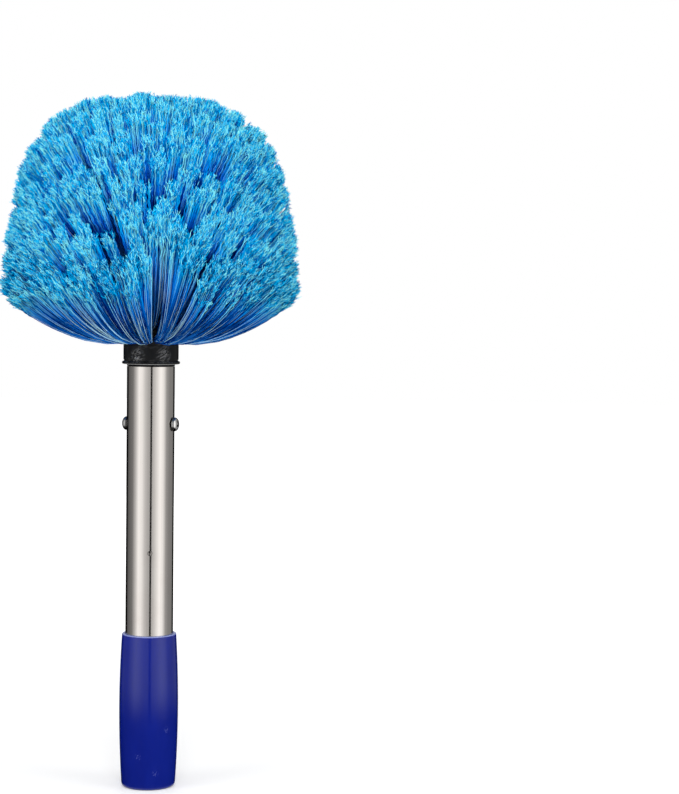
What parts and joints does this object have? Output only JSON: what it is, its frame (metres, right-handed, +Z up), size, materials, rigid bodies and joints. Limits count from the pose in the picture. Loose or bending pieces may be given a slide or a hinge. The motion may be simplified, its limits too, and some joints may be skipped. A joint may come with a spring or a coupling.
{
  "type": "cobweb brush",
  "caption": "Domed cobweb brush head with flared blue bristles on a short steel tube, whose blue grip sleeve has a socket for an extension pole.",
  "frame": {"origin": "centre of the pole socket's mouth, in the plane of the grip sleeve's lower end", "axes": "+Z up the tube's axis to the crown of the brush, -Y towards the punch mark on the tube's front, +X to the right when the front is seen"},
  "size_m": [0.1536, 0.1541, 0.3514],
  "materials": {
    "bristle": "sky blue filament with pale tips",
    "black_plastic": "satin, lightly scuffed",
    "tube_steel": "satin stainless",
    "screw_steel": "bright plated",
    "grip_plastic": "glossy royal blue",
    "insert_plastic": "plain moulded"
  },
  "bodies": {
    "root": {"head_stem": "black_plastic", "pole_tube": "tube_steel", "screw_left": "screw_steel", "screw_right": "screw_steel", "grip_sleeve": "grip_plastic", "socket_insert": "insert_plastic", "bristles_lower": "bristle", "bristles_middle": "bristle", "bristles_upper": "bristle", "bristles_crown": "bristle"}
  },
  "joints": []
}
